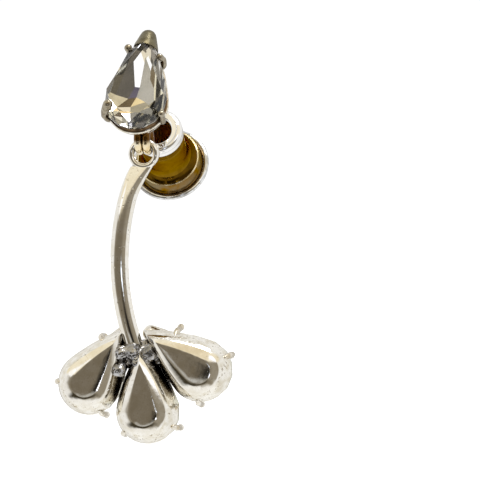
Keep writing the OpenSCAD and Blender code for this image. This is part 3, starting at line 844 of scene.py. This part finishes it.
# Camera, at the photo's viewing angle, with the pixel of the photo that shows the world's origin
CAMERA_AZIMUTH, DISTANCE, SENSOR = 9.5, 0.35, 36
PIXELS_PER_MM, ORIGIN_PX, IMAGE_PX = 9.7, (152.2, 116.6), 480
azimuth = math.radians(CAMERA_AZIMUTH)
to_camera = Vector((math.sin(azimuth), -math.cos(azimuth), 0))
to_right = Vector((math.cos(azimuth), math.sin(azimuth), 0))
aim = to_right * ((IMAGE_PX / 2 - ORIGIN_PX[0]) / PIXELS_PER_MM * MM)
aim += Vector((0, 0, -(IMAGE_PX / 2 - ORIGIN_PX[1]) / PIXELS_PER_MM * MM))
camera = bpy.data.objects.new("camera", bpy.data.cameras.new("camera"))
camera.data.sensor_width = SENSOR
camera.data.lens = SENSOR * DISTANCE / (IMAGE_PX / PIXELS_PER_MM * MM)
camera.data.clip_start, camera.data.clip_end = 0.01, 10
camera.location = aim + to_camera * DISTANCE
camera.rotation_mode = "QUATERNION"
camera.rotation_quaternion = (-to_camera).to_track_quat("-Z", "Y")
bpy.context.scene.collection.objects.link(camera)
bpy.context.scene.camera = camera

# Floor: a wide pale disc that the metal and the crystals don't mirror
FLOOR_Z, FLOOR_STEPS = -0.045, 64
FLOOR_PROFILE = [(0.05, 0), (60, 0), (400, 0), (1500, 0), (6000, 0), (6000, -20), (0.05, -20)]
FLOOR_DIM, FLOOR_BRIGHT, FLOOR_ROUGHNESS, FLOOR_GLOW = (0.5, 0.52, 0.56), (0.53, 0.55, 0.59), 0.8, 0.8
FLOOR_CLOUD_RATE, FLOOR_CLOUD_EDGES = 0.02, (0.3, 0.7)
floor_points, floor_faces, _ = lathe(FLOOR_PROFILE, FLOOR_STEPS)
floor_mesh = bpy.data.meshes.new("floor")
floor_mesh.from_pydata([tuple(Vector(p) * MM) for p in floor_points], [], floor_faces)
floor = bpy.data.objects.new("floor", floor_mesh)
floor.location.z = FLOOR_Z
bpy.context.scene.collection.objects.link(floor)
pale = bpy.data.materials.new("floor_pale")
pale_nodes = Nodes(pale)
pale_nodes.show(pale_nodes.add("ShaderNodeBsdfPrincipled", {
    "Base Color": pale_nodes.ramp(
        pale_nodes.noise(FLOOR_CLOUD_RATE, 3), FLOOR_CLOUD_EDGES, FLOOR_DIM, FLOOR_BRIGHT
    ),
    "Roughness": FLOOR_ROUGHNESS, "Emission Color": (1, 1, 1, 1), "Emission Strength": FLOOR_GLOW,
}))
floor_mesh.materials.append(pale)
floor.visible_glossy = floor.visible_transmission = False

# Studio that the metal mirrors. The camera itself sees plain white.
# Bearings are degrees to the right and up from the direction that a plate facing the front mirrors.
WHITE, BEHIND, UNDER, BACKDROP_GLOW = (0.9, 0.89, 0.86), (0.62, 0.6, 0.56), (1.0, 0.99, 0.95), 1.05
BEHIND_EDGES, UNDER_EDGES = (0.8, 0.95), (0.5, 0.85)
SWAY_RATE, SWAY_DETAIL, SWAY_DEGREES = 6.0, 3.0, 9.0

# Soft oval patches, one over another, as (middle, half size, softness, colour)
PATCHES = [
    ((12, 44), (62, 30), 0.3, (0.95, 0.88, 0.7)),  # warm glow above
    ((12, 2), (58, 44), 0.12, (0.31, 0.275, 0.215)),  # dim room in front
    ((8, 37), (100, 22), 0.1, (0.94, 0.86, 0.67)),  # cream ceiling
    ((22, 38), (17, 20), 0.3, (0.87, 0.76, 0.55)),  # deeper cream in it
    ((51, 26), (15, 9), 0.3, (1.25, 1.27, 1.35)),  # lamp that the top crystal shows
    ((-37, 22), (11, 7), 0.3, (1.15, 1.15, 1.15)),  # window on the left
    ((-2, -1), (36, 17), 0.4, (0.185, 0.157, 0.115)),  # dark middle that the plates show
    ((4, -15.5), (15, 3), 0.4, (0.5, 0.49, 0.46)),  # paler strip under it
    ((-10, -29), (40, 9), 0.35, (0.05, 0.042, 0.025)),  # near black below
    ((16, -9), (10, 6), 0.5, (0.02, 0.018, 0.015)),  # dark spot round the lamps
    ((24, 1), (6, 1.6), 0.25, (1.5, 1.65, 1.9)),  # narrow bluish lamp
    ((26, -14), (4.5, 3), 0.2, (3.2, 3.4, 3.9)),  # small bright lamp
]
world = bpy.data.worlds.new("studio")
bpy.context.scene.world = world
sky = Nodes(world)
direction = sky.add("ShaderNodeTexCoord").outputs["Generated"]


def along(axis):
    """How far a ray goes along an axis."""
    inputs = {0: direction, 1: tuple(axis)}
    return sky.add("ShaderNodeVectorMath", inputs, operation="DOT_PRODUCT").outputs["Value"]


to_front = along((-math.sin(azimuth), -math.cos(azimuth), 0))
to_side = along((math.cos(azimuth), -math.sin(azimuth), 0))
sway = sky.add("ShaderNodeTexNoise", {"Vector": direction, "Scale": SWAY_RATE, "Detail": SWAY_DETAIL})
sway = sky.math("SUBTRACT", sway.outputs["Fac"], 0.5)
bearing = sky.math("MULTIPLY", sky.math("ARCTAN2", to_side, to_front), math.degrees(1))
bearing = sky.math("ADD", bearing, sky.math("MULTIPLY", sway, SWAY_DEGREES))
rise = sky.math("MULTIPLY", sky.math("ARCSINE", along((0, 0, 1))), math.degrees(1))
rise = sky.math("ADD", rise, sky.math("MULTIPLY", sway, -SWAY_DEGREES))


def patched(colour, middle, half, soft, paint):
    """The colour so far with a soft oval patch over it."""
    x = sky.math("DIVIDE", sky.math("SUBTRACT", bearing, middle[0]), half[0])
    y = sky.math("DIVIDE", sky.math("SUBTRACT", rise, middle[1]), half[1])
    out = sky.math("SQRT", sky.math("ADD", sky.math("MULTIPLY", x, x), sky.math("MULTIPLY", y, y)))
    return sky.blend(sky.range(out, (1 - soft, 1 + soft), 1, 0), colour, paint)


colour = sky.blend(sky.range(along((0, 1, 0)), BEHIND_EDGES), WHITE, BEHIND)
colour = sky.blend(sky.range(along((0, 0, -1)), UNDER_EDGES), colour, UNDER)
for values in PATCHES:
    colour = patched(colour, *values)
seen = sky.add("ShaderNodeLightPath").outputs["Is Camera Ray"]
studio = sky.add("ShaderNodeBackground", {"Color": colour, "Strength": 1.0})
backdrop = sky.add("ShaderNodeBackground", {"Color": (1, 1, 1, 1), "Strength": BACKDROP_GLOW})
shown = sky.add("ShaderNodeMixShader", {0: seen, 1: studio.outputs[0], 2: backdrop.outputs[0]})
sky.show(shown, "ShaderNodeOutputWorld")

# Key light, a soft disc above and to the right
KEY_SIZE, KEY_POWER, KEY_PLACE = 0.25, 1.2, (0.15, -0.05, 0.45)
key = bpy.data.objects.new("key", bpy.data.lights.new("key", "AREA"))
key.data.shape = "DISK"
key.data.size = KEY_SIZE
key.data.energy = KEY_POWER
key.location = KEY_PLACE
key.rotation_mode = "QUATERNION"
key.rotation_quaternion = key.location.to_track_quat("Z", "Y")
bpy.context.scene.collection.objects.link(key)

bpy.context.scene.view_settings.view_transform = "Standard"
bpy.context.scene.view_settings.look = "None"
